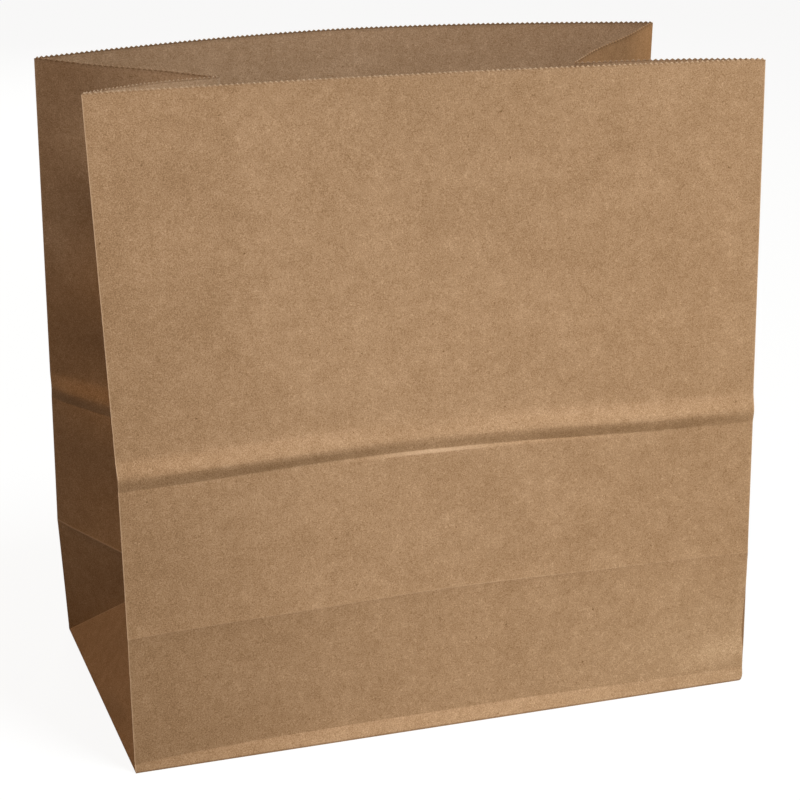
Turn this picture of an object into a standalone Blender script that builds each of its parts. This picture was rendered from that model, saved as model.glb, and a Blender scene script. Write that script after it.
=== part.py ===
"""Square-bottom paper bag with folded side gussets, made of one glued sheet.

A point of the sheet is found from its panel, from how far across the panel it lies,
and from its height above the bottom fold, measured along the paper. The upright
folds are placed first, each strip between two creases at its full length, and the
panels are stretched between them. The front faces -Y, and the origin is the middle
of the bottom, on the surface that the bag stands on.
"""

import math

import bmesh
import bpy
from mathutils import Vector

# Sheet, in metres
WIDTH = 0.330
HEIGHT = 0.332
GUSSET = 0.178
PAPER = 0.00015

# Bottom: gusset paper tucked in at each corner, what the tucks take from the middle
# of the gusset, paper that rolls under the bottom's edge as the bag opens, and the
# lap of the two glued flaps
CORNER_TUCK = 0.009
MIDDLE_TUCK = 0.003
CORNER_INSET = 0.00185
ROLL_UNDER = 0.0069
FLAP_LAP = 0.034

# Band bent along the foot of the bag, and the share of each side's corner inset in it
FOOT_BAND = 0.0070
FOOT_SPREAD = 0.0018
NIPPED = {-1: 0.1, 1: 1.0}

# Glued seam down the back panel
SEAM_LAP = 0.026
SEAM_FROM_SIDE = 0.110

# Saw-tooth rim left by the knife
TOOTH_PITCH = 0.0026
TOOTH_HEIGHT = 0.0009

# Ridge pressed into the sheet by the folded bottom: where its crest lies short of the
# bottom's edge, its height, its reach above and below the crest, and the height that
# is left at its lower edge, from where the sheet runs back to its plane
RIDGE_OFFSET = 0.0043
RIDGE_HEIGHT = 0.0020
RIDGE_ABOVE = 0.012
RIDGE_BELOW = 0.0058
RIDGE_STEP = 0.0008

# How the bag stands open, at the lower crease, the upper crease and the rim:
# angle between the halves of each gusset, in degrees, lean of each side towards
# the back, sideways sway of the front and back panels, and how far each crease runs
# askew up or down each side
OPENING = {-1: (112.6, 94.7, 54.8), 1: (110.9, 97.8, 70.1)}
LEAN = {-1: (-0.0027, -0.0031, -0.0061), 1: (-0.0020, -0.0053, -0.0132)}
SWAY = {-1: (-0.0003, -0.0021, -0.0088), 1: (-0.0043, -0.0071, -0.0167)}
ASKEW = {-1: (-0.0019, 0.0014, 0.0), 1: (-0.0006, 0.0001, 0.0)}
GUSSET_DIP = 0.008

# Bow of the front and back panels out of their planes at the same heights, outwards
# positive, and how blunt the bend is that it makes down the middle of each panel
FRONT_BOW = (-0.0070, -0.0120, -0.0048)
BACK_BOW = (0.0020, 0.0065, 0.0245)
FRONT_BLUNTNESS = 0.35
BACK_BLUNTNESS = 0.7

# Mesh spacing
COLUMN_SPACING = 0.015
ROW_SPACING = 0.026
RIM_BAND = 0.008
SMOOTH_ANGLE = math.radians(12)

FRONT, BACK = -1, 1
LEFT, RIGHT = -1, 1
BOW = {FRONT: FRONT_BOW, BACK: BACK_BOW}
BLUNTNESS = {FRONT: FRONT_BLUNTNESS, BACK: BACK_BLUNTNESS}

# Folds that follow from the sheet: folded flat, the bottom lies against the bag, with
# one crease halfway up its depth and the other along its far edge
BOTTOM_DEPTH = GUSSET - 2 * CORNER_TUCK
LOWER_CREASE = BOTTOM_DEPTH / 2 - ROLL_UNDER
UPPER_CREASE = BOTTOM_DEPTH - ROLL_UNDER - RIDGE_OFFSET
CREASES = (LOWER_CREASE, UPPER_CREASE, HEIGHT)
FLOOR = 2 * PAPER

LAYERS = ("single paper", "inner flap", "outer flap", "seam")


def clear_scene():
    for item in list(bpy.data.objects):
        bpy.data.objects.remove(item, do_unlink=True)


def panel_bow(face, height):
    """Bow of a front or back panel at its middle, smooth through its known heights."""
    heights = (0.0, *CREASES)
    total = 0.0
    for level, bow in enumerate((0.0, *BOW[face])):
        share = bow
        for other in heights[:level] + heights[level + 1:]:
            share *= (height - other) / (heights[level] - other)
        total += share
    return total


def bow_share(face, across):
    """Share of the bow across a panel: a soft tent that ends at both folds."""
    blunt = BLUNTNESS[face]
    spread = math.hypot(2 * across - 1, blunt) - blunt
    return 1 - spread / (math.hypot(1, blunt) - blunt)


def panel_chord(face, height):
    """Straight distance between a panel's two folds once the paper is bowed."""
    return WIDTH - 8 / 3 * panel_bow(face, height) ** 2 / WIDTH


def corner_fold(side, face):
    """Upright fold between a panel and a gusset, as pairs of height and point."""
    foot = Vector((side * (WIDTH / 2 - CORNER_INSET), face * BOTTOM_DEPTH / 2, FLOOR))
    line = [(0.0, foot)]
    paper_below = 0.0
    for level, height in enumerate(CREASES):
        mouth = GUSSET * math.sin(math.radians(OPENING[side][level]) / 2)
        start = line[-1][1]
        x = SWAY[face][level] + side * panel_chord(face, height) / 2
        y = LEAN[side][level] + face * mouth / 2
        slant = Vector((x, y)) - start.xy
        paper = height + ASKEW[side][level]
        rise = math.sqrt((paper - paper_below) ** 2 - slant.length_squared)
        line.append((height, Vector((x, y, start.z + rise))))
        paper_below = paper
    spread = Vector((side * CORNER_INSET * NIPPED[side], -face * FOOT_SPREAD, 0))
    band = foot.lerp(line[1][1], FOOT_BAND / LOWER_CREASE) + spread
    line.insert(1, (FOOT_BAND, band))
    return line


def along(line, height):
    """Point of a fold at a height measured along the paper."""
    for (low, start), (high, end) in zip(line, line[1:]):
        if height <= high:
            return start.lerp(end, (height - low) / (high - low))
    return line[-1][1].copy()


def centre_fold(side):
    """Fold down the middle of a gusset, half the gusset away from both its corners."""
    line = []
    for height in CREASES:
        front = along(FOLDS[side, FRONT], height)
        back = along(FOLDS[side, BACK], height)
        middle = (front + back) / 2
        half = GUSSET / 2
        if height == LOWER_CREASE:
            half -= MIDDLE_TUCK
        reach = math.sqrt(half ** 2 - (back - front).length_squared / 4)
        inward = (back - front).cross(Vector((0, 0, -side))).normalized()
        level_reach = math.sqrt(reach ** 2 - GUSSET_DIP ** 2)
        point = middle + inward * level_reach - Vector((0, 0, GUSSET_DIP))
        line.append((height, point))
    return line


FOLDS = {(side, face): corner_fold(side, face) for side in (LEFT, RIGHT) for face in (FRONT, BACK)}
CENTRES = {side: centre_fold(side) for side in (LEFT, RIGHT)}


def ridge(height):
    """Step towards the front where the sheet lay over the folded bottom."""
    foot = UPPER_CREASE - RIDGE_BELOW
    top = UPPER_CREASE + RIDGE_ABOVE
    if height <= LOWER_CREASE or height >= top:
        out = 0.0
    elif height <= foot:
        out = RIDGE_STEP * (height - LOWER_CREASE) / (foot - LOWER_CREASE)
    elif height <= UPPER_CREASE:
        out = RIDGE_STEP + (RIDGE_HEIGHT - RIDGE_STEP) * (height - foot) / RIDGE_BELOW
    else:
        out = RIDGE_HEIGHT * (1 + math.cos(math.pi * (height - UPPER_CREASE) / RIDGE_ABOVE)) / 2
    return Vector((0, -out, 0))


def panel_point(face, across, height):
    """Point of the front or back panel, counted across from the left."""
    left = along(FOLDS[LEFT, face], height)
    right = along(FOLDS[RIGHT, face], height)
    out = face * panel_bow(face, height) * bow_share(face, across)
    return left.lerp(right, across) + Vector((0, out, 0)) + ridge(height)


def diagonal_point(side, face, height):
    """Point of the slanting fold from a bottom corner up to the gusset's centre fold."""
    corner = FOLDS[side, face][0][1]
    apex = CENTRES[side][0][1]
    return corner.lerp(apex, height / LOWER_CREASE)


def gusset_point(side, face, across, height):
    """Point of one half of a gusset, counted from its corner fold to the middle."""
    corner = along(FOLDS[side, face], height)
    if height < LOWER_CREASE:
        middle = diagonal_point(side, face, height)
    else:
        middle = along(CENTRES[side], height)
    return corner.lerp(middle, across) + ridge(height)


def base_point(side, across, height):
    """Point of the triangle between the two slanting folds, counted from the front."""
    front = diagonal_point(side, FRONT, height)
    back = diagonal_point(side, BACK, height)
    return front.lerp(back, across)


def parts(length, spacing):
    """Number of equal parts, near the spacing, that a length is divided into."""
    return max(1, round(length / spacing))


def tooth_count(length):
    return parts(length, TOOTH_PITCH)


def columns(length):
    """Upright mesh lines of a panel, as whole numbers of teeth."""
    teeth = tooth_count(length)
    count = parts(length, COLUMN_SPACING)
    return sorted({round(teeth * step / count) for step in range(count + 1)})


def seam_columns():
    """Both edges of the glued lap, as whole numbers of teeth from the right fold."""
    start = round(SEAM_FROM_SIDE / TOOTH_PITCH)
    return start, start + tooth_count(SEAM_LAP)


def panel_segment(face):
    """Front panel from left to right, or back panel from right to left."""
    teeth = tooth_count(WIDTH)
    lines = columns(WIDTH)
    if face == BACK:
        lines = sorted(set(lines) | set(seam_columns()))

    def point(step, height):
        across = step / teeth
        if face == BACK:
            across = 1 - across
        return panel_point(face, across, height)

    return {"lines": lines, "point": point, "seam": face == BACK}


def gusset_segment(side, face, outward):
    """Half of a gusset, walked from its corner fold inwards or back out."""
    teeth = tooth_count(GUSSET / 2)

    def point(step, height):
        across = step / teeth
        if outward:
            across = 1 - across
        return gusset_point(side, face, across, height)

    return {"lines": columns(GUSSET / 2), "point": point, "seam": False}


def base_segment(side):
    """Bottom triangle of a side, walked the same way round the bag as the panels."""
    count = parts(GUSSET / 2, COLUMN_SPACING)

    def point(step, height):
        across = step / count
        if side == LEFT:
            across = 1 - across
        return base_point(side, across, height)

    return {"lines": list(range(count + 1)), "point": point, "seam": False}


def upper_segments():
    """Panels round the bag, anticlockwise from above, starting at the front's left."""
    return [
        panel_segment(FRONT),
        gusset_segment(RIGHT, FRONT, outward=False),
        gusset_segment(RIGHT, BACK, outward=True),
        panel_segment(BACK),
        gusset_segment(LEFT, BACK, outward=False),
        gusset_segment(LEFT, FRONT, outward=True),
    ]


def lower_segments():
    """The same panels below the lower crease, with a triangle in each side."""
    segments = upper_segments()
    segments.insert(2, base_segment(RIGHT))
    segments.insert(6, base_segment(LEFT))
    return segments


def spaced(low, high):
    """Heights of the mesh rows between two heights, both included."""
    rows = parts(high - low, ROW_SPACING)
    return [low + (high - low) * step / rows for step in range(rows + 1)]


def upper_rows():
    """Mesh rows from the lower crease to just under the rim."""
    ridge_low = UPPER_CREASE - RIDGE_BELOW
    ridge_high = UPPER_CREASE + RIDGE_ABOVE
    rows = spaced(LOWER_CREASE, ridge_low)
    rows += [UPPER_CREASE, UPPER_CREASE + RIDGE_ABOVE / 3, UPPER_CREASE + RIDGE_ABOVE * 2 / 3]
    rows += spaced(ridge_high, HEIGHT - RIM_BAND)
    return rows


class Sheet:
    """Mesh of the sheet's outer face, in which neighbouring faces share their points."""

    def __init__(self):
        self.mesh = bmesh.new()
        self.layer = self.mesh.faces.layers.int.new("layer")
        self.points = {}

    def vertex(self, point):
        key = tuple(round(value * 1e7) for value in point)
        if key not in self.points:
            self.points[key] = self.mesh.verts.new(point)
        return self.points[key]

    def face(self, points, layer="single paper"):
        """Face through the points, leaving out the ones that fall together."""
        corners = list(dict.fromkeys(self.vertex(point) for point in points))
        if len(corners) > 2:
            self.mesh.faces.new(corners)[self.layer] = LAYERS.index(layer)

    def strip(self, segment, low, high):
        """Row of faces across a panel between two heights."""
        seam = seam_columns()
        for start, end in zip(segment["lines"], segment["lines"][1:]):
            glued = segment["seam"] and seam[0] <= start and end <= seam[1]
            point = segment["point"]
            corners = [point(start, low), point(end, low), point(end, high), point(start, high)]
            self.face(corners, "seam" if glued else "single paper")

    def rim(self, segment, low):
        """Last row of faces across a panel, ending in saw teeth."""
        seam = seam_columns()
        root = HEIGHT - TOOTH_HEIGHT
        for start, end in zip(segment["lines"], segment["lines"][1:]):
            glued = segment["seam"] and seam[0] <= start and end <= seam[1]
            point = segment["point"]
            corners = [point(start, low), point(end, low), point(end, root)]
            for tooth in range(end - 1, start - 1, -1):
                corners.append(point(tooth + 0.5, HEIGHT))
                corners.append(point(tooth, root))
            self.face(corners, "seam" if glued else "single paper")

    def bottom(self, segments):
        """Bottom faces, cut along the outlines of the two glued flaps."""
        front, right, back, left = (
            [segment["point"](step, 0.0) for step in reversed(segment["lines"])]
            for segment in segments[::2]
        )
        waist = WIDTH / 2 - CORNER_INSET - BOTTOM_DEPTH / 2
        free_end = waist - FLAP_LAP / 2
        outline = ((-waist, 0), (-free_end, -FLAP_LAP / 2), (free_end, -FLAP_LAP / 2), (waist, 0))
        free_edge = [Vector((x, y, FLOOR)) for x, y in outline]
        self.face(front + free_edge, "inner flap")
        self.face(back + free_edge[::-1], "outer flap")
        self.face(right + free_edge[-1:])
        self.face(left + free_edge[:1])


def fold_sheet():
    """Outer face of the whole folded sheet, open at the mouth."""
    sheet = Sheet()
    lower = lower_segments()
    rows = [0.0, *spaced(FOOT_BAND, LOWER_CREASE)]
    for low, high in zip(rows, rows[1:]):
        for segment in lower:
            sheet.strip(segment, low, high)
    rows = upper_rows()
    for segment in upper_segments():
        for low, high in zip(rows, rows[1:]):
            sheet.strip(segment, low, high)
        sheet.rim(segment, rows[-1])
    sheet.bottom(lower)
    return sheet


def add_paper_layer(mesh, faces, shift):
    """Raise faces by one more thickness of glued paper and return the raised ones."""
    raised = bmesh.ops.extrude_face_region(mesh, geom=faces)["geom"]
    bmesh.ops.delete(mesh, geom=faces, context="FACES_ONLY")
    points = [item for item in raised if isinstance(item, bmesh.types.BMVert)]
    bmesh.ops.translate(mesh, verts=points, vec=shift)
    return [item for item in raised if isinstance(item, bmesh.types.BMFace)]


def thicken(sheet):
    """Give the sheet its thickness, with more layers at the flaps and the seam."""
    mesh = sheet.mesh
    mesh.normal_update()
    outside = mesh.faces[:]
    bmesh.ops.solidify(mesh, geom=outside, thickness=PAPER)
    seam = [face for face in outside if LAYERS[face[sheet.layer]] == "seam"]
    flaps = [face for face in outside if LAYERS[face[sheet.layer]].endswith("flap")]
    flaps = add_paper_layer(mesh, flaps, Vector((0, 0, -PAPER)))
    outer_flap = [face for face in flaps if LAYERS[face[sheet.layer]] == "outer flap"]
    add_paper_layer(mesh, outer_flap, Vector((0, 0, -PAPER)))
    add_paper_layer(mesh, seam, Vector((0, PAPER, 0)))
    bmesh.ops.triangulate(mesh, faces=mesh.faces[:])
    bmesh.ops.recalc_face_normals(mesh, faces=mesh.faces[:])


def paper_material():
    material = bpy.data.materials.new("brown paper")
    material.use_nodes = True
    surface = material.node_tree.nodes["Principled BSDF"]
    surface.inputs["Base Color"].default_value = (0.40, 0.24, 0.12, 1)
    surface.inputs["Roughness"].default_value = 0.85
    surface.inputs["Metallic"].default_value = 0.0
    return material


def make_bag():
    sheet = fold_sheet()
    thicken(sheet)
    mesh = bpy.data.meshes.new("paper_bag")
    sheet.mesh.to_mesh(mesh)
    sheet.mesh.free()
    mesh.attributes.remove(mesh.attributes["layer"])
    mesh.materials.append(paper_material())
    mesh.shade_smooth()
    mesh.set_sharp_from_angle(angle=SMOOTH_ANGLE)
    bag = bpy.data.objects.new("paper_bag", mesh)
    bpy.context.scene.collection.objects.link(bag)
    return bag


clear_scene()
make_bag()
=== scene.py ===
import math

import bpy
from mathutils import Matrix, Vector, noise


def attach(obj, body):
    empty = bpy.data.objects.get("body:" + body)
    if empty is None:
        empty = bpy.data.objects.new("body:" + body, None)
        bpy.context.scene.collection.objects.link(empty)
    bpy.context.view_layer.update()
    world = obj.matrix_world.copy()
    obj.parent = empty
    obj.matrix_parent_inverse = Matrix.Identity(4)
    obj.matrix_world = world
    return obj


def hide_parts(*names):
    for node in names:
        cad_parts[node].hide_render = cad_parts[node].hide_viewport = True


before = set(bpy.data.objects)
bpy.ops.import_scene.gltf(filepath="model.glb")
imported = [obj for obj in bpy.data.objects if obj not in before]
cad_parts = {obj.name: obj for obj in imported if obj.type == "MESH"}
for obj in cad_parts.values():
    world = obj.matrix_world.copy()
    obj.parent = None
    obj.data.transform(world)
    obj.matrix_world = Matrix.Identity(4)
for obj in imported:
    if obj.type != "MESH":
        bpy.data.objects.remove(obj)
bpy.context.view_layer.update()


# The bag: one sheet of brown paper, folded to a tube with a tucked gusset in each
# side, pasted down the back and across the bottom, and cut off with a toothed knife.
# Here it has been pulled open and stands on its square bottom.
FRONT, BACK = -1, 1
LEFT, RIGHT = -1, 1

# The flat sheet. The tucks are the paper that the bottom's corners and the middle of
# each gusset take up, and the roll is the wall's paper that turns under the foot.
WIDTH = 0.330
HEIGHT = 0.332
GUSSET = 0.178
PAPER = 0.00015
CORNER_TUCK = 0.009
MIDDLE_TUCK = 0.003
CORNER_INSET = 0.00185
ROLL_UNDER = 0.0069
FLAP_LAP = 0.034
SEAM_LAP = 0.026
SEAM_FROM_SIDE = 0.110
TOOTH_PITCH = 0.0026
TOOTH_HEIGHT = 0.0009

BOTTOM_DEPTH = GUSSET - 2 * CORNER_TUCK
LOWER_CREASE = BOTTOM_DEPTH / 2 - ROLL_UNDER
UPPER_CREASE = 0.1488
LEVELS = (LOWER_CREASE, UPPER_CREASE, HEIGHT)
FLOOR = 2 * PAPER

# How the standing bag has opened, at the lower crease, the upper crease and the rim:
# the gussets' angle in degrees, the shift of each side to the rear and of each panel
# to the right, the slant of the creases, and the bow of the panels to the rear.
OPENING = {LEFT: (112.6, 94.7, 54.8), RIGHT: (110.9, 97.8, 70.1)}
LEAN = {LEFT: (-0.0027, -0.0031, -0.0061), RIGHT: (-0.0020, -0.0053, -0.0132)}
SWAY = {FRONT: (-0.0003, -0.0021, -0.0088), BACK: (-0.0043, -0.0071, -0.0167)}
ASKEW = {LEFT: (-0.0019, 0.0014, 0.0), RIGHT: (-0.0006, 0.0001, 0.0)}
BOW = {FRONT: (-0.0070, -0.0120, -0.0048), BACK: (0.0020, 0.0065, 0.0245)}
BLUNTNESS = {FRONT: 0.35, BACK: 0.7}
GUSSET_DIP = 0.008

# Points of the rim that were bent by hand
RIM_NUDGE = {
    (RIGHT, FRONT): (0.0017, 0.0, 0.0),
    (RIGHT, "centre"): (-0.0045, 0.0, 0.0022),
    (LEFT, "centre"): (0.0006, 0.0, 0.0014),
}


def panel_bow(face, height):
    """Bow of the front or back at its middle, smooth through its three known heights."""
    heights = (0.0,) + LEVELS
    bows = (0.0,) + BOW[face]
    total = 0.0
    for i, bow in enumerate(bows):
        share = 1.0
        for j, other in enumerate(heights):
            if j != i:
                share *= (height - other) / (heights[i] - other)
        total += bow * share
    return total


def bow_shape(face, across):
    """Share of the bow across a panel: a soft tent, nought at both folds."""
    blunt = BLUNTNESS[face]
    return 1 - (math.hypot(2 * across - 1, blunt) - blunt) / (math.hypot(1, blunt) - blunt)


def panel_chord(face, height):
    """Straight distance between a panel's folds, a little less than its paper."""
    return WIDTH - 8 / 3 * panel_bow(face, height) ** 2 / WIDTH


def corner_fold(side, face):
    """Upright fold between a panel and a gusset, as heights and points."""
    foot = Vector((side * (WIDTH / 2 - CORNER_INSET), face * BOTTOM_DEPTH / 2, FLOOR))
    line = [(0.0, foot)]
    lifted = 0.0
    for level, height in enumerate(LEVELS):
        mouth = GUSSET * math.sin(math.radians(OPENING[side][level]) / 2)
        below, start = line[-1]
        x = SWAY[face][level] + side * panel_chord(face, height) / 2
        y = LEAN[side][level] + face * mouth / 2
        slant = Vector((x, y)) - start.xy
        strip = height - below + ASKEW[side][level] - lifted
        lifted = ASKEW[side][level]
        rise = math.sqrt(strip ** 2 - slant.length_squared)
        line.append((height, Vector((x, y, start.z + rise))))
    line[-1][1].xyz += Vector(RIM_NUDGE.get((side, face), (0, 0, 0)))
    return line


def along(line, height):
    """Point of a fold at a height of the flat sheet."""
    for (low, start), (high, end) in zip(line, line[1:]):
        if height <= high:
            return start.lerp(end, (height - low) / (high - low))
    return line[-1][1].copy()


def centre_fold(side):
    """Fold down the middle of a gusset, half the gusset away from both its corners."""
    line = []
    for height in LEVELS:
        front = along(FOLDS[side, FRONT], height)
        back = along(FOLDS[side, BACK], height)
        half = GUSSET / 2
        if height == LOWER_CREASE:
            half -= MIDDLE_TUCK
        reach = math.sqrt(half ** 2 - (back - front).length_squared / 4)
        inward = (back - front).cross(Vector((0, 0, -side))).normalized()
        point = (front + back) / 2 + inward * math.sqrt(reach ** 2 - GUSSET_DIP ** 2)
        line.append((height, point - Vector((0, 0, GUSSET_DIP))))
    line[-1][1].xyz += Vector(RIM_NUDGE[side, "centre"])
    return line


FOLDS = {}
for side in (LEFT, RIGHT):
    for face in (FRONT, BACK):
        FOLDS[side, face] = corner_fold(side, face)
CENTRES = {side: centre_fold(side) for side in (LEFT, RIGHT)}

# Ridge that the folded bottom pressed into the sheet, at shares of the bag's width:
# height above the sharp line at its foot, and how far it stands out, in millimetres.
# Near the right fold the ridge runs a little higher.
RIDGE_FOOT = UPPER_CREASE - 0.0050
RIDGE_LOW, RIDGE_HIGH = -70, 20
RIDGE_CLIMB, RIDGE_CLIMB_FROM = 1.4, 0.84
RIDGE_PROFILE = {
    0.00: (
        (-70, 0.0), (-6, 0.9), (-1, 0.9), (0, 0.85), (1, 1.05), (4, 1.65),
        (6, 1.8), (8, 1.6), (11, 0.8), (13, 0.25), (15, 0.0),
    ),
    0.10: (
        (-70, 0.0), (-6, 1.3), (-1, 1.3), (0, 1.25), (1, 1.55), (4, 2.5),
        (6, 2.9), (8, 2.5), (11, 1.1), (13, 0.35), (15, 0.0),
    ),
    0.29: (
        (-70, 0.0), (-6, 0.5), (-1, 0.4), (0, 0.4), (1, 0.75), (4, 2.0),
        (6, 2.3), (8, 1.95), (11, 1.1), (14, 0.3), (17, 0.0),
    ),
    0.49: (
        (-70, 0.0), (-6, 0.8), (-2.5, 0.95), (-1.5, 0.85), (0, 0.3), (1, 0.45),
        (4, 1.1), (6, 1.3), (8, 1.05), (11, 0.5), (14, 0.2), (18, 0.0),
    ),
    0.70: (
        (-70, 0.0), (-6, 1.25), (-2.5, 1.4), (-1.2, 1.35), (0, 1.05), (1, 1.4),
        (4, 2.45), (6, 2.8), (8, 2.5), (13, 0.8), (16, 0.2), (20, 0.0),
    ),
    0.88: (
        (-70, 0.0), (-6, 0.7), (-1, 0.65), (0, 0.65), (1, 0.9), (4, 1.85),
        (6, 2.3), (8, 2.15), (13, 0.7), (15, 0.2), (17, 0.0),
    ),
    1.00: (
        (-70, 0.0), (-6, 0.5), (-1, 0.5), (0, 0.5), (1, 0.7), (4, 1.35),
        (6, 1.6), (8, 1.45), (13, 0.5), (15, 0.15), (17, 0.0),
    ),
}


def stepped(table, value):
    """Straight-line reading of a table of pairs."""
    if value <= table[0][0]:
        return table[0][1]
    for (low, start), (high, end) in zip(table, table[1:]):
        if value <= high:
            return start + (end - start) * (value - low) / (high - low)
    return table[-1][1]


def ridge_out(across, height):
    """How far the sheet stands out at the pressed ridge, in metres."""
    climb = max(0.0, (across - RIDGE_CLIMB_FROM) / (1 - RIDGE_CLIMB_FROM))
    above = (height - RIDGE_FOOT) * 1000 - RIDGE_CLIMB * climb
    if above < RIDGE_LOW or above > RIDGE_HIGH:
        return 0.0
    table = [(place, stepped(profile, above)) for place, profile in RIDGE_PROFILE.items()]
    return stepped(table, across) / 1000


# Band bent along the foot, over the width of the bag: how high it reaches up the
# sheet, and how far the sheet stands back above it, in millimetres
FOOT_BAND = (
    (0.0, 4.0, 0.8),
    (0.05, 5.2, 1.4),
    (0.10, 5.6, 2.0),
    (0.20, 6.3, 2.6),
    (0.35, 6.6, 3.0),
    (0.65, 6.9, 2.9),
    (0.85, 7.0, 1.2),
    (1.0, 7.0, 1.0),
)


def foot_back(across, height):
    """How far the sheet stands back above the band along its foot, in metres."""
    band = stepped([(place, high) for place, high, back in FOOT_BAND], across) / 1000
    back = stepped([(place, back) for place, high, back in FOOT_BAND], across) / 1000
    if height >= LOWER_CREASE:
        return 0.0
    if height < band:
        return back * height / band
    return back * (LOWER_CREASE - height) / (LOWER_CREASE - band)


# The foot's corners were pressed round: the right one fully, the left one hardly
NIPPED = {LEFT: 0.1, RIGHT: 1.0}
NIP_REACH = 0.0042


def sheet_left(height):
    """One near the floor, falling to nought at the lower crease."""
    return max(0.0, min(1.0, (LOWER_CREASE - height) / LOWER_CREASE))


def foot_shift(side, face, height):
    """Shift of a corner fold near the floor, where the corner was pressed round."""
    round_off = math.sqrt(max(0.0, 1 - (1 - min(height, NIP_REACH) / NIP_REACH) ** 2))
    nip = side * CORNER_INSET * NIPPED[side] * round_off * sheet_left(height)
    return Vector((nip, -face * foot_back((1 + side) / 2, height), 0))


# Slight outward edge left by the crease halfway up the folded bottom
CREASE_OUT, CREASE_SPREAD = 0.00030, 0.0035


def crease_out(height):
    return CREASE_OUT * math.exp(-abs(height - LOWER_CREASE) / CREASE_SPREAD)


# Soft facet beside the right corner, where the foot was once pushed in
DENT_DEPTH = 0.0012
DENT_FROM, DENT_RUN_IN = 0.84, 0.09
DENT_LOW, DENT_DEEPEST, DENT_TOP = 0.009, 0.012, 0.045
DENT_SLOPE, DENT_SLOPE_FROM = 0.07, 0.9


def corner_dent(across, height):
    low = DENT_LOW + DENT_SLOPE * max(0.0, across - DENT_SLOPE_FROM)
    high, top = low + DENT_DEEPEST, low + DENT_TOP
    if across < DENT_FROM or height < low or height > top:
        return 0.0
    reach = math.sin(min(1, (across - DENT_FROM) / DENT_RUN_IN) * math.pi / 2) ** 2
    if height < high:
        return DENT_DEPTH * reach * (height - low) / (high - low)
    return DENT_DEPTH * reach * (top - height) / (top - high)


# Slight waves of handled paper, calmer near the floor and the folds
PANEL_WAVE_SIZE, PANEL_WAVE = 0.055, 0.0007
GUSSET_WAVE_SIZE, GUSSET_WAVE = 0.05, 0.0006
BASE_WAVE_SIZE, BASE_WAVE = 0.035, 0.0012
CALM_HEIGHT = 0.02
CALM_SHARE = 0.05


def soft_waves(point, size, depth):
    return depth * noise.noise(point / size)


def panel_point(face, across, height):
    """Point of the front or back panel, from its left fold to its right one."""
    left = along(FOLDS[LEFT, face], height)
    right = along(FOLDS[RIGHT, face], height)
    out = face * panel_bow(face, height) * bow_shape(face, across)
    point = left.lerp(right, across) + Vector((0, out, 0))
    nip = foot_shift(LEFT, face, height).lerp(foot_shift(RIGHT, face, height), across)
    point.x += nip.x
    point.y -= face * foot_back(across, height)
    if face == FRONT:
        point.y += corner_dent(across, height)
    point.y -= ridge_out(across, height)
    point.y += face * crease_out(height)
    calm = min(1, height / CALM_HEIGHT, across / CALM_SHARE, (1 - across) / CALM_SHARE)
    place = point + Vector((3, 7 + face, 1))
    point.y += face * calm * soft_waves(place, PANEL_WAVE_SIZE, PANEL_WAVE)
    return point


def diagonal_point(side, face, height):
    """Point of the diagonal fold from a bottom corner to the gusset's centre fold."""
    corner = FOLDS[side, face][0][1]
    return corner.lerp(CENTRES[side][0][1], height / LOWER_CREASE)


# Slack of a half gusset between its folds: long waves up it, and a bulge at the rim,
# out in the front half and to and fro in the rear half
SLACK_WAVE, SLACK_WAVE_LENGTH, SLACK_WAVE_FROM = 0.0013, 0.072, 0.187
SWELL_GAIN = 1.6
RIM_BULGE_FROM = 0.26
FRONT_RIM_BULGE, BACK_RIM_BULGE = 0.0038, 0.0014


def gusset_slack(face, across, height):
    if height < LOWER_CREASE:
        return 0.0
    slack = math.sin(math.pi * across)
    swell = math.sin((height - LOWER_CREASE) / (HEIGHT - LOWER_CREASE) * math.pi)
    wave = math.sin((height - SLACK_WAVE_FROM) / SLACK_WAVE_LENGTH * 2 * math.pi)
    rim = max(0.0, (height - RIM_BULGE_FROM) / (HEIGHT - RIM_BULGE_FROM)) ** 2
    bulge = FRONT_RIM_BULGE
    if face == BACK:
        bulge = BACK_RIM_BULGE * math.sin(2 * math.pi * across)
    return SLACK_WAVE * wave * slack * min(1, swell * SWELL_GAIN) + bulge * rim * slack


# How strongly the ridge and the crease show in a gusset, and where along the ridge's
# table the gusset reads it. Both fade over an eighth of the gusset at each fold.
GUSSET_RIDGE = {LEFT: 1.3, RIGHT: 0.9}
GUSSET_RIDGE_AT = {LEFT: 0.05, RIGHT: 1.0}
GUSSET_CREASE = 1.8
FADE = 8


def gusset_point(side, face, across, height):
    """Point of a half gusset. Its relief runs square to it."""
    corner = along(FOLDS[side, face], height) + foot_shift(side, face, height)
    if height < LOWER_CREASE:
        middle = diagonal_point(side, face, height)
    else:
        middle = along(CENTRES[side], height)
    point = corner.lerp(middle, across)
    run = middle - corner
    outward = Vector((side, 0, 0))
    if run.length > 1e-6:
        outward = Vector((0, 0, 1)).cross(run).normalized()
        if outward.x * side < 0:
            outward = -outward
    inside = min(1, across * FADE)
    ridge = ridge_out(GUSSET_RIDGE_AT[side], height)
    crease = crease_out(height)
    point.y += (face * crease - ridge) * (1 - inside)
    inside *= min(1, (1 - across) * FADE)
    relief = GUSSET_RIDGE[side] * face * ridge + GUSSET_CREASE * crease
    calm = inside * min(1, height / CALM_HEIGHT)
    relief += GUSSET_WAVE * soft_waves(point + Vector((9, 2, 5)), GUSSET_WAVE_SIZE, calm)
    return point + outward * (relief * inside + gusset_slack(face, across, height))


# Short fold across the left triangle of the bottom, where it was pressed in
PRESSED_IN, PRESSED_WIDTH, PRESSED_AT = 0.0030, 0.17, 0.42
PRESSED_SLANT, PRESSED_RUN_IN = 0.10, 0.012


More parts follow.
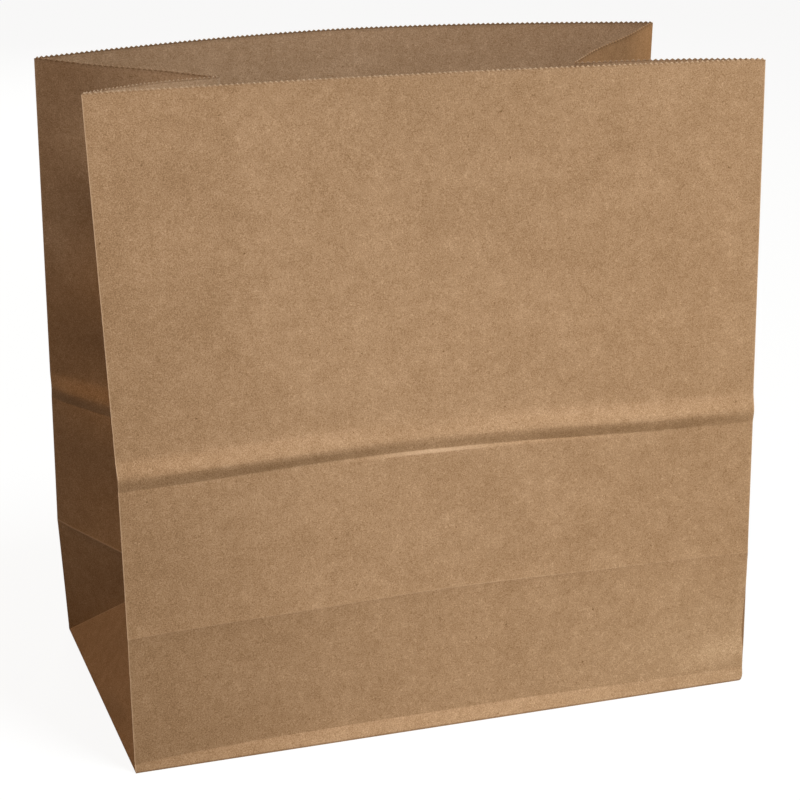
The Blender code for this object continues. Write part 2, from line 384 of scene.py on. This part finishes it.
def base_point(side, across, height):
    """Point of the triangle between a gusset's two diagonal folds."""
    point = diagonal_point(side, FRONT, height)
    point = point.lerp(diagonal_point(side, BACK, height), across)
    slack = 4 * across * (1 - across) * math.sin(math.pi * height / LOWER_CREASE)
    waves = soft_waves(point + Vector((1, 4, 2)), BASE_WAVE_SIZE, BASE_WAVE)
    point.x += side * slack * waves
    if side == LEFT:
        apart = abs(across + height / PRESSED_SLANT - PRESSED_AT)
        near = max(0.0, 1 - apart / PRESSED_WIDTH)
        point.x -= PRESSED_IN * near * min(1, height / PRESSED_RUN_IN)
    return point


def spaced(low, high, count):
    return [low + (high - low) * step / count for step in range(count + 1)]


# Columns close to each fold keep it crisp, in metres, and so do shares in the base
BESIDE_FOLD = (0.00045, 0.0009)
BASE_BESIDE_FOLD = [0.003, 0.009, 0.991, 0.997]
BASE_STEPS = 24


def tooth_steps(length):
    """Places across a strip: one for each saw tooth, and two close to each fold."""
    teeth = round(length / TOOTH_PITCH)
    steps = [step / teeth for step in range(teeth + 1)]
    close = [distance / length for distance in BESIDE_FOLD]
    return sorted(steps + close + [1 - value for value in close])


def ring_of_stations(with_base):
    """Columns of the lofted shell, anticlockwise from above from the front's left fold."""
    panel = tooth_steps(WIDTH)
    half = tooth_steps(GUSSET / 2)
    base = sorted(spaced(0, 1, BASE_STEPS) + BASE_BESIDE_FOLD)
    ring = [("panel", FRONT, across) for across in panel]
    for side in (RIGHT, LEFT):
        first, second = (FRONT, BACK) if side == RIGHT else (BACK, FRONT)
        ring += [("gusset", (side, first), across) for across in half[1:]]
        if with_base:
            steps = base[1:] if side == RIGHT else base[-2::-1]
            ring += [("base", side, across) for across in steps]
        ring += [("gusset", (side, second), across) for across in half[-2::-1]]
        if side == RIGHT:
            ring += [("panel", BACK, across) for across in panel[-2::-1]]
    return ring


def sheet_point(station, height):
    kind, place, across = station
    if kind == "panel":
        return panel_point(place, across, height)
    if kind == "gusset":
        return gusset_point(place[0], place[1], across, height)
    return base_point(place, across, height)


def folded_columns(ring):
    """Numbers of the columns that lie on a fold."""
    ends = []
    for number, (kind, place, across) in enumerate(ring[:-1]):
        if number == 0 or ring[number + 1][0:2] != (kind, place):
            ends.append(number)
    return ends


def bump(value, middle, spread):
    """One at the middle, falling smoothly to nought on both sides."""
    return math.exp(-((value - middle) / spread) ** 2)


# Marks painted on the paper, each a number at every point of the mesh, made from the
# point's station, its height, and how many columns it lies from a fold.
def fold_wear_and_highlight_mark(station, height, from_fold):
    """Pale lines along the folds, the lower crease and the ridge's sharp line: paper
    rubbed pale on the folds, and painted highlights where the folds and creases catch the
    light.
    """
    kind, place, across = station
    on_fold, beside_fold, on_gusset_crease = 1.0, 0.45, 0.9
    on_panel_crease = 0.2 + 0.4 * bump(across, 0.6, 0.15)
    under_ridge = 0.6 * bump(across, 0.49, 0.07)
    from_crease = abs(height - LOWER_CREASE)
    if from_fold == 0:
        return on_fold
    if from_fold == 1:
        return beside_fold
    if kind == "gusset" and from_crease < 0.0004:
        return on_gusset_crease
    if from_crease < 0.0001:
        return on_panel_crease
    if (kind, place) == ("panel", FRONT) and -0.0016 < height - RIDGE_FOOT < 0.0001:
        return under_ridge
    return 0.0


def edge_tone(station, height, from_fold):
    """Below nought, painted shade in the foot's edge and between the saw teeth."""
    foot_edge, rear_notch, below_rear_notch, front_notch = -1.0, -1.7, -0.4, -0.8
    at_rear = station[:2] == ("panel", BACK) or station[1] in ((LEFT, BACK), (RIGHT, BACK))
    if height < 0.0005:
        return foot_edge
    if height == HEIGHT - TOOTH_HEIGHT:
        return rear_notch if at_rear else front_notch
    if height > HEIGHT - 0.002 and at_rear:
        return below_rear_notch
    return 0.0


def front_painted_light_and_shade(station, height, from_fold):
    """Painted light near the front's lower right corner, with a painted highlight along
    the dent there, and below nought painted shade along its left fold and at its upper
    right corner."""
    kind, place, across = station
    if (kind, place) != ("panel", FRONT):
        return 0.0
    pale = 0.45 * bump(across, 1, 0.3) * bump(height, 0.024, 0.03)
    off_line = height - 0.019 - 0.1 * (across - 0.96)
    dent_highlight = 0.5 * bump(across, 0.96, 0.045) * bump(off_line, 0, 0.0055)
    corner_shade = 0.4 * bump(across, 1, 0.3) * bump(height, 0.32, 0.08)
    left_fold_shade = bump(across, 0, 0.24)
    return pale + dent_highlight - corner_shade - left_fold_shade


def gusset_painted_warm_bounce(station, height, from_fold):
    """The rear half of the right gusset, tinted more golden than the rest: painted warm
    light, as bounced inside the gusset and passed through the paper.
    """
    return 1.0 if station[:2] == ("gusset", (RIGHT, BACK)) else 0.0


MARKS = {
    "fold_wear_and_highlight": fold_wear_and_highlight_mark,
    "cut_edge_highlight_and_shade": edge_tone,
    "painted_light_and_shade": front_painted_light_and_shade,
    "painted_warm_bounce": gusset_painted_warm_bounce,
}
FOLD_ROUNDING = 0.4


def loft_wall(name, rows, with_base):
    """One belt of the bag's wall, lofted from a grid wrapped round the folds."""
    ring = ring_of_stations(with_base)
    across_count, up_count = len(ring) - 1, len(rows) - 1
    bpy.ops.object.select_all(action="DESELECT")
    bpy.ops.mesh.primitive_grid_add(
        x_subdivisions=across_count, y_subdivisions=up_count, size=1
    )
    wall = bpy.context.object
    wall.name = name
    points = [[sheet_point(station, height) for station in ring] for height in rows]
    folds = folded_columns(ring)
    for line in points:
        for column in folds:
            before = line[column - 1] if column else line[-2]
            after = line[column + 1]
            line[column] = line[column].lerp((before + after) / 2, FOLD_ROUNDING)
        line[-1] = line[0].copy()
    from_fold = []
    for column in range(len(ring)):
        apart = [(column + step) % across_count in folds for step in (0, 1, -1)]
        from_fold.append(0 if apart[0] else 1 if any(apart) else 2)
    spots = []
    for vertex in wall.data.vertices:
        column = round((vertex.co.x + 0.5) * across_count)
        row = round((vertex.co.y + 0.5) * up_count)
        vertex.co = points[row][column]
        spots.append((ring[column], rows[row], from_fold[column]))
    for mark, painted in MARKS.items():
        layer = wall.data.attributes.new(mark, "FLOAT", "POINT")
        for number, spot in enumerate(spots):
            layer.data[number].value = painted(*spot)
    return wall


# Rows of the mesh up the sheet, close together at the foot band, the creases, the
# ridge and the rim, and wide apart between them
foot_rows = [0, 0.0003, 0.0008, 0.0016, 0.0026, 0.0034, 0.0040, 0.0046, 0.0052]
foot_rows += [0.0056, 0.0060, 0.0064, 0.0067, 0.0070, 0.0073, 0.0077, 0.0085]
foot_rows += [0.0098, 0.0115]
lower_crease_rows = (0, 0.0003, 0.0007, 0.0014, 0.0024, 0.0036)
ridge_rows = (
    -0.0055, -0.0035, -0.002, -0.0015, -0.001, -0.0005, 0, 0.0003, 0.0007,
    0.0013, 0.002, 0.0028, 0.0036, 0.0044, 0.0052, 0.006, 0.0068, 0.0076,
    0.0085, 0.0095, 0.0105, 0.0115, 0.0125, 0.0135, 0.0145, 0.0155, 0.017,
)
rim_rows = [HEIGHT - 0.007, HEIGHT - 0.003]
rim_rows += [HEIGHT - TOOTH_HEIGHT - 0.0005, HEIGHT - TOOTH_HEIGHT]
lower_rows = sorted(
    foot_rows
    + spaced(0.014, 0.068, 10)
    + [LOWER_CREASE - step for step in lower_crease_rows]
)
upper_rows = sorted(
    [LOWER_CREASE + step for step in lower_crease_rows + (0.006,)]
    + spaced(LOWER_CREASE + 0.010, RIDGE_FOOT - 0.008, 11)
    + [RIDGE_FOOT + step for step in ridge_rows]
    + spaced(RIDGE_FOOT + 0.020, HEIGHT - 0.012, 17)
    + rim_rows
)
foot = loft_wall("bag_foot", lower_rows, with_base=True)
wall = loft_wall("bag_wall", upper_rows, with_base=False)

# Saw teeth: each tooth's length of the rim is split in its middle and pulled up. The
# short lengths beside the folds get no tooth.
SHORTEST_TOOTH = 0.0012
FRONT_TIP, REAR_TIP = 1.0, 0.7
bpy.ops.object.select_all(action="DESELECT")
wall.select_set(True)
bpy.context.view_layer.objects.active = wall
rim_count = len(wall.data.vertices)
top = rim_count - len(ring_of_stations(False))
bpy.ops.object.mode_set(mode="EDIT")
bpy.ops.mesh.select_mode(type="EDGE")
bpy.ops.mesh.select_all(action="DESELECT")
bpy.ops.object.mode_set(mode="OBJECT")
for edge in wall.data.edges:
    start, end = edge.vertices
    length = (wall.data.vertices[start].co - wall.data.vertices[end].co).length
    edge.select = start >= top and end >= top and length > SHORTEST_TOOTH
bpy.ops.object.mode_set(mode="EDIT")
bpy.ops.mesh.subdivide(number_cuts=1)
bpy.ops.object.mode_set(mode="OBJECT")
# The tips are marked as pale cut fibres; the front rim's are paler still, as a painted
# highlight.
edge_marks = wall.data.attributes["cut_edge_highlight_and_shade"].data
for vertex in wall.data.vertices[rim_count:]:
    vertex.co.z += TOOTH_HEIGHT
    edge_marks[vertex.index].value = REAR_TIP if vertex.co.y > 0 else FRONT_TIP

# The belts are joined and closed at the bottom, then given the paper's thickness
WELD = 0.00002
foot.select_set(True)
bpy.ops.object.join()
bag = bpy.context.object
bag.name = "folded_paper_bag"
bag.data.name = "folded_paper_bag"
bpy.ops.object.mode_set(mode="EDIT")
bpy.ops.mesh.select_mode(type="VERT")
bpy.ops.mesh.select_all(action="SELECT")
bpy.ops.mesh.remove_doubles(threshold=WELD)
bpy.ops.mesh.select_all(action="DESELECT")
bpy.ops.object.mode_set(mode="OBJECT")
for vertex in bag.data.vertices:
    vertex.select = vertex.co.z < FLOOR + WELD / 2
bpy.ops.object.mode_set(mode="EDIT")
bpy.ops.mesh.edge_face_add()
bpy.ops.mesh.select_all(action="SELECT")
bpy.ops.mesh.normals_make_consistent(inside=False)
bpy.ops.object.mode_set(mode="OBJECT")


def give_thickness(sheet, thickness):
    solid = sheet.modifiers.new("paper thickness", "SOLIDIFY")
    solid.thickness = thickness
    solid.offset = -1
    bpy.ops.object.modifier_apply(modifier=solid.name)


give_thickness(bag, PAPER)


# The pasted flaps of the bottom and the gusset ends turned in above them: flat layers,
# each biting a little way into the next
PASTE_BITE = 0.00002


def paste_layer(name, outline, low, high):
    """A flat layer of pasted paper under or on the bottom, from its outline."""
    bpy.ops.object.select_all(action="DESELECT")
    bpy.ops.mesh.primitive_circle_add(vertices=len(outline), radius=1, fill_type="NGON")
    layer = bpy.context.object
    layer.name = name
    for vertex, (x, y) in zip(layer.data.vertices, outline):
        vertex.co = (x, y, low)
    bpy.ops.object.mode_set(mode="EDIT")
    bpy.ops.mesh.select_all(action="SELECT")
    bpy.ops.mesh.extrude_region_move(TRANSFORM_OT_translate={"value": (0, 0, high - low)})
    bpy.ops.mesh.select_all(action="SELECT")
    bpy.ops.mesh.normals_make_consistent(inside=False)
    bpy.ops.object.mode_set(mode="OBJECT")
    return layer


half_width = WIDTH / 2 - CORNER_INSET
half_depth = BOTTOM_DEPTH / 2
waist = half_width - half_depth
free_end = waist - FLAP_LAP / 2
front_flap = [(-half_width, -half_depth), (half_width, -half_depth), (waist, 0)]
front_flap += [(free_end, FLAP_LAP / 2), (-free_end, FLAP_LAP / 2), (-waist, 0)]
back_flap = [(x, -y) for x, y in front_flap]
pasted = [
    paste_layer("front_flap", front_flap, FLOOR - PAPER, FLOOR + PASTE_BITE),
    paste_layer("back_flap", back_flap, 0.0, FLOOR - PAPER + PASTE_BITE),
]
for side in (LEFT, RIGHT):
    turned_in = [(side * half_width, -half_depth), (side * half_width, half_depth)]
    turned_in.append((side * waist, 0))
    low, high = FLOOR + PAPER - PASTE_BITE, FLOOR + 2 * PAPER
    pasted.append(paste_layer("turned_in_end", turned_in, low, high))

# The pasted lap down the back panel, which starts and ends on a whole saw tooth
SEAM_BITE = 0.00003
seam_start = round(SEAM_FROM_SIDE / TOOTH_PITCH) * TOOTH_PITCH
seam_end = seam_start + round(SEAM_LAP / TOOTH_PITCH) * TOOTH_PITCH
seam_steps = spaced(1 - seam_end / WIDTH, 1 - seam_start / WIDTH, 10)
seam_rows = lower_rows[:-1] + upper_rows
seam_across, seam_up = len(seam_steps) - 1, len(seam_rows) - 1
bpy.ops.object.select_all(action="DESELECT")
bpy.ops.mesh.primitive_grid_add(x_subdivisions=seam_across, y_subdivisions=seam_up, size=1)
seam = bpy.context.object
seam.name = "back_seam"
for vertex in seam.data.vertices:
    across = seam_steps[round((vertex.co.x + 0.5) * seam_across)]
    height = seam_rows[round((vertex.co.y + 0.5) * seam_up)]
    vertex.co = panel_point(BACK, across, height) + Vector((0, PAPER, 0))
bpy.ops.object.mode_set(mode="EDIT")
bpy.ops.mesh.select_all(action="SELECT")
bpy.ops.mesh.flip_normals()
bpy.ops.object.mode_set(mode="OBJECT")
give_thickness(seam, PAPER + SEAM_BITE)
pasted.append(seam)

bpy.ops.object.select_all(action="DESELECT")
for layer in pasted:
    layer.select_set(True)
bag.select_set(True)
bpy.context.view_layer.objects.active = bag
bpy.ops.object.join()
bpy.ops.object.shade_smooth_by_angle(angle=math.radians(50))


def paper_pulp():
    """Unbleached pulp: clouds of denser paper, grain, crossing fibres and dark flecks."""
    group = bpy.data.node_groups.new("paper pulp", "ShaderNodeTree")
    face = group.interface
    face.new_socket("Position", in_out="INPUT", socket_type="NodeSocketVector")
    face.new_socket("Paper", in_out="INPUT", socket_type="NodeSocketColor")
    face.new_socket("Colour", in_out="OUTPUT", socket_type="NodeSocketColor")
    face.new_socket("Grain", in_out="OUTPUT", socket_type="NodeSocketFloat")
    nodes, links = group.nodes, group.links
    given = nodes.new("NodeGroupInput")
    result = nodes.new("NodeGroupOutput")

    def pulp_noise(scale, detail, roughness, distortion=0.0):
        texture = nodes.new("ShaderNodeTexNoise")
        texture.inputs["Scale"].default_value = scale
        texture.inputs["Detail"].default_value = detail
        texture.inputs["Roughness"].default_value = roughness
        texture.inputs["Distortion"].default_value = distortion
        links.new(given.outputs["Position"], texture.inputs["Vector"])
        return texture.outputs["Fac"]

    def ranged(value, low, high, to_low, to_high):
        node = nodes.new("ShaderNodeMapRange")
        node.inputs["From Min"].default_value = low
        node.inputs["From Max"].default_value = high
        node.inputs["To Min"].default_value = to_low
        node.inputs["To Max"].default_value = to_high
        links.new(value, node.inputs["Value"])
        return node.outputs["Result"]

    def varied(texture, amount):
        """Noise as a factor round one, of which most lies between 0.3 and 0.7."""
        return ranged(texture, 0.3, 0.7, 1 - amount, 1 + amount)

    def combined(operation, first, second=None):
        node = nodes.new("ShaderNodeMath")
        node.operation = operation
        for number, value in enumerate((first, second)):
            if isinstance(value, float):
                node.inputs[number].default_value = value
            elif value is not None:
                links.new(value, node.inputs[number])
        return node.outputs["Value"]

    def times(*values):
        total = values[0]
        for value in values[1:]:
            total = combined("MULTIPLY", total, value)
        return total

    def fibre_lines(scale, distortion, width, shade):
        """Thin curling lines where a noise crosses its middle."""
        middle = combined("SUBTRACT", pulp_noise(scale, 1, 0.5, distortion), 0.5)
        return ranged(combined("ABSOLUTE", middle), 0.0, width, shade, 1.0)

    clouds = varied(pulp_noise(scale=40, detail=4, roughness=0.6), 0.07)
    mottle = varied(pulp_noise(scale=170, detail=3, roughness=0.6), 0.09)
    tufts = varied(pulp_noise(scale=900, detail=3, roughness=0.75, distortion=1.2), 0.13)
    grain = pulp_noise(scale=1800, detail=2, roughness=0.7)
    pale_fibres = fibre_lines(scale=240, distortion=2.6, width=0.018, shade=1.26)
    dark_fibres = fibre_lines(scale=300, distortion=3.0, width=0.015, shade=0.78)
    shade = times(clouds, mottle, tufts, varied(grain, 0.34), pale_fibres, dark_fibres)

    # Flecks: ragged dots in a few of the cells, some of them fainter
    cells = nodes.new("ShaderNodeTexVoronoi")
    cells.inputs["Scale"].default_value = 190
    links.new(given.outputs["Position"], cells.inputs["Vector"])
    ragged = ranged(pulp_noise(scale=900, detail=1, roughness=0.5), 0, 1, -0.09, 0.09)
    dots = ranged(combined("ADD", cells.outputs["Distance"], ragged), 0.05, 0.12, 1.0, 0.0)
    chosen = nodes.new("ShaderNodeSeparateColor")
    links.new(cells.outputs["Color"], chosen.inputs["Color"])
    few = ranged(chosen.outputs["Red"], 0.84, 0.98, 0.0, 1.0)
    flecks = ranged(times(dots, few), 0, 1, 1.0, 0.45)

    # Pale grains are greyer than the paper and dark ones browner
    tint = nodes.new("ShaderNodeCombineXYZ")
    for axis, power in (("X", 0.85), ("Y", 1.02), ("Z", 1.3)):
        links.new(combined("POWER", times(shade, flecks), power), tint.inputs[axis])
    colour = nodes.new("ShaderNodeVectorMath")
    colour.operation = "MULTIPLY"
    links.new(given.outputs["Paper"], colour.inputs[0])
    links.new(tint.outputs["Vector"], colour.inputs[1])
    links.new(colour.outputs["Vector"], result.inputs["Colour"])
    links.new(grain, result.inputs["Grain"])
    return group


PAPER_BROWN = (0.394, 0.267, 0.163, 1)
# Tints of the painted light and the painted shade on the front
PAINTED_LIGHT_TINT = (1.5, 1.66, 1.84, 1)
PAINTED_SHADE_TINT = (0.65, 0.60, 0.52, 1)
# Tint of the painted warm light in the right gusset's rear half
GUSSET_PAINTED_WARM_BOUNCE = (1.0, 0.83, 0.63, 1)
# Pale of the fold wear and its painted highlights
FOLD_WEAR_AND_HIGHLIGHT_PALE = (0.62, 0.47, 0.34, 1)
# Pale of the cut edges with a painted highlight on the front tips, and painted shade at
# the foot's edge and between the teeth
CUT_EDGE_PALE_AND_HIGHLIGHT = (0.66, 0.55, 0.43, 1)
EDGE_SHADE = (0.13, 0.07, 0.03, 1)

paper = bpy.data.materials.new("brown paper")
paper.use_nodes = True
nodes, links = paper.node_tree.nodes, paper.node_tree.links
surface = nodes["Principled BSDF"]
surface.inputs["Roughness"].default_value = 0.82
surface.inputs["Specular IOR Level"].default_value = 0.25
place = nodes.new("ShaderNodeTexCoord")
pulp = nodes.new("ShaderNodeGroup")
pulp.node_tree = paper_pulp()
pulp.inputs["Paper"].default_value = PAPER_BROWN
links.new(place.outputs["Object"], pulp.inputs["Position"])


def tinted(colour, mark, strength, shade, way="MIX"):
    """The colour turned to a shade where a painted mark has the sign of the strength."""
    painted = nodes.new("ShaderNodeAttribute")
    painted.attribute_name = mark
    value = painted.outputs["Fac"]
    for operation, amount in (("MULTIPLY", strength), ("MAXIMUM", 0.0)):
        step = nodes.new("ShaderNodeMath")
        step.operation = operation
        step.inputs[1].default_value = amount
        links.new(value, step.inputs[0])
        value = step.outputs["Value"]
    blend = nodes.new("ShaderNodeMix")
    blend.data_type = "RGBA"
    blend.blend_type = way
    blend.inputs["B"].default_value = shade
    links.new(value, blend.inputs["Factor"])
    links.new(colour, blend.inputs["A"])
    return blend.outputs["Result"]


# Painted light and painted shade on the front
colour = tinted(pulp.outputs["Colour"], "painted_light_and_shade", 0.55, PAINTED_LIGHT_TINT, "MULTIPLY")
colour = tinted(colour, "painted_light_and_shade", -0.42, PAINTED_SHADE_TINT, "MULTIPLY")
# Painted warm light in the right gusset's rear half
colour = tinted(colour, "painted_warm_bounce", 1.0, GUSSET_PAINTED_WARM_BOUNCE, "MULTIPLY")
# Fold wear and painted highlights on the folds, the lower crease and under the ridge
colour = tinted(colour, "fold_wear_and_highlight", 0.75, FOLD_WEAR_AND_HIGHLIGHT_PALE)
# Pale cut edges with a painted highlight at the front tips, then painted shade at the
# foot's edge and between the saw teeth
colour = tinted(colour, "cut_edge_highlight_and_shade", 0.8, CUT_EDGE_PALE_AND_HIGHLIGHT)
colour = tinted(colour, "cut_edge_highlight_and_shade", -0.6, EDGE_SHADE)
links.new(colour, surface.inputs["Base Color"])
relief = nodes.new("ShaderNodeBump")
relief.inputs["Strength"].default_value = 0.35
relief.inputs["Distance"].default_value = 0.0002
links.new(pulp.outputs["Grain"], relief.inputs["Height"])
links.new(relief.outputs["Normal"], surface.inputs["Normal"])
bag.data.materials.clear()
bag.data.materials.append(paper)
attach(bag, "root")
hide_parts("paper_bag")


# The floor: a wide sheet of white studio board that the bag stands on. To the camera
# it glows almost white and keeps the bag's soft shadow, and on the bag it throws back
# only a little light.
BOARD_GLOW = 1.1
BOARD_GLOW_SHARE = 0.83
BOARD_SEEN_BY_BAG = (0.22, 0.22, 0.22, 1)
BOARD_SEEN_BY_CAMERA = (0.56, 0.62, 0.65, 1)

bpy.ops.object.select_all(action="DESELECT")
bpy.ops.mesh.primitive_plane_add(size=12, location=(0, 2, 0))
floor = bpy.context.object
floor.name = "studio_floor"
bpy.ops.object.transform_apply(location=True)
board = bpy.data.materials.new("white studio board")
board.use_nodes = True
nodes, links = board.node_tree.nodes, board.node_tree.links
matt = nodes["Principled BSDF"]
matt.inputs["Roughness"].default_value = 0.9
matt.inputs["Specular IOR Level"].default_value = 0.1
white = nodes.new("ShaderNodeEmission")
white.inputs["Strength"].default_value = BOARD_GLOW
seen = nodes.new("ShaderNodeLightPath")
share = nodes.new("ShaderNodeMath")
share.operation = "MULTIPLY"
share.inputs[1].default_value = BOARD_GLOW_SHARE
tone = nodes.new("ShaderNodeMix")
tone.data_type = "RGBA"
tone.inputs["A"].default_value = BOARD_SEEN_BY_BAG
tone.inputs["B"].default_value = BOARD_SEEN_BY_CAMERA
links.new(seen.outputs["Is Camera Ray"], tone.inputs["Factor"])
links.new(tone.outputs["Result"], matt.inputs["Base Color"])
blend = nodes.new("ShaderNodeMixShader")
links.new(seen.outputs["Is Camera Ray"], share.inputs[0])
links.new(share.outputs["Value"], blend.inputs["Fac"])
links.new(matt.outputs["BSDF"], blend.inputs[1])
links.new(white.outputs["Emission"], blend.inputs[2])
links.new(blend.outputs["Shader"], nodes["Material Output"].inputs["Surface"])
floor.data.materials.append(board)


# The studio light: a soft box above and in front, warm weaker ones at the left, low in
# front and behind, and a dim warm surround that shows white to the camera.
AIM = (0, -0.05, 0.15)
REAR_AIM = (0, 0.05, 0.15)


def soft_box(name, place, aim, size, power, colour):
    light = bpy.data.lights.new(name, "AREA")
    light.shape = "RECTANGLE"
    light.size = light.size_y = size
    light.energy = power
    light.color = colour
    lamp = bpy.data.objects.new(name, light)
    bpy.context.scene.collection.objects.link(lamp)
    lamp.location = place
    towards = Vector(aim) - Vector(place)
    lamp.rotation_euler = towards.to_track_quat("-Z", "Y").to_euler()


soft_box("key_soft_box", (0.22, -0.5, 1.3), AIM, 0.35, 15.5, (0.925, 0.98, 1.0))
soft_box("left_soft_box", (-0.45, -0.4, 1.25), AIM, 0.35, 4.6, (1.0, 0.66, 0.38))
soft_box("low_soft_box", (0.36, -0.8, 0.1), AIM, 0.3, 3.1, (1.0, 0.84, 0.6))
soft_box("rear_soft_box", (0.1, 1.3, 0.6), REAR_AIM, 0.5, 5.0, (1.0, 0.93, 0.82))

world = bpy.data.worlds.new("pale surround")
bpy.context.scene.world = world
world.use_nodes = True
nodes, links = world.node_tree.nodes, world.node_tree.links
dim = nodes["Background"]
dim.inputs["Color"].default_value = (1.0, 0.50, 0.20, 1)
dim.inputs["Strength"].default_value = 0.13
bright = nodes.new("ShaderNodeBackground")
bright.inputs["Color"].default_value = (1, 1, 1, 1)
bright.inputs["Strength"].default_value = 1.0
seen = nodes.new("ShaderNodeLightPath")
direct = nodes.new("ShaderNodeMath")
direct.operation = "MAXIMUM"
links.new(seen.outputs["Is Camera Ray"], direct.inputs[0])
links.new(seen.outputs["Is Glossy Ray"], direct.inputs[1])
either = nodes.new("ShaderNodeMath")
either.operation = "MAXIMUM"
links.new(direct.outputs["Value"], either.inputs[0])
links.new(seen.outputs["Is Transmission Ray"], either.inputs[1])
blend = nodes.new("ShaderNodeMixShader")
links.new(either.outputs["Value"], blend.inputs["Fac"])
links.new(dim.outputs["Background"], blend.inputs[1])
links.new(bright.outputs["Background"], blend.inputs[2])
links.new(blend.outputs["Shader"], nodes["World Output"].inputs["Surface"])


# The camera stands in front of the bag's left part, 1.2 m from its middle and 0.58 m
# above the floor, turned to the right and looking down on the bag as the photograph
# does. Its lens is a long one, 103 mm over a frame of 36 mm.
view = bpy.data.cameras.new("photo camera")
view.lens = 103.31
view.sensor_width = 36
view.sensor_fit = "HORIZONTAL"
camera = bpy.data.objects.new("photo_camera", view)
bpy.context.scene.collection.objects.link(camera)
ahead = Vector((0.31323, 0.87743, -0.36332)).normalized()
right = Vector((0.94434, -0.32827, 0.02136)).normalized()
up = right.cross(ahead).normalized()
right = ahead.cross(up)
turn = Matrix((right, up, -ahead)).transposed()
camera.matrix_world = Matrix.Translation((-0.3730, -1.0368, 0.57682)) @ turn.to_4x4()
bpy.context.scene.camera = camera
bpy.context.scene.view_settings.view_transform = "Standard"
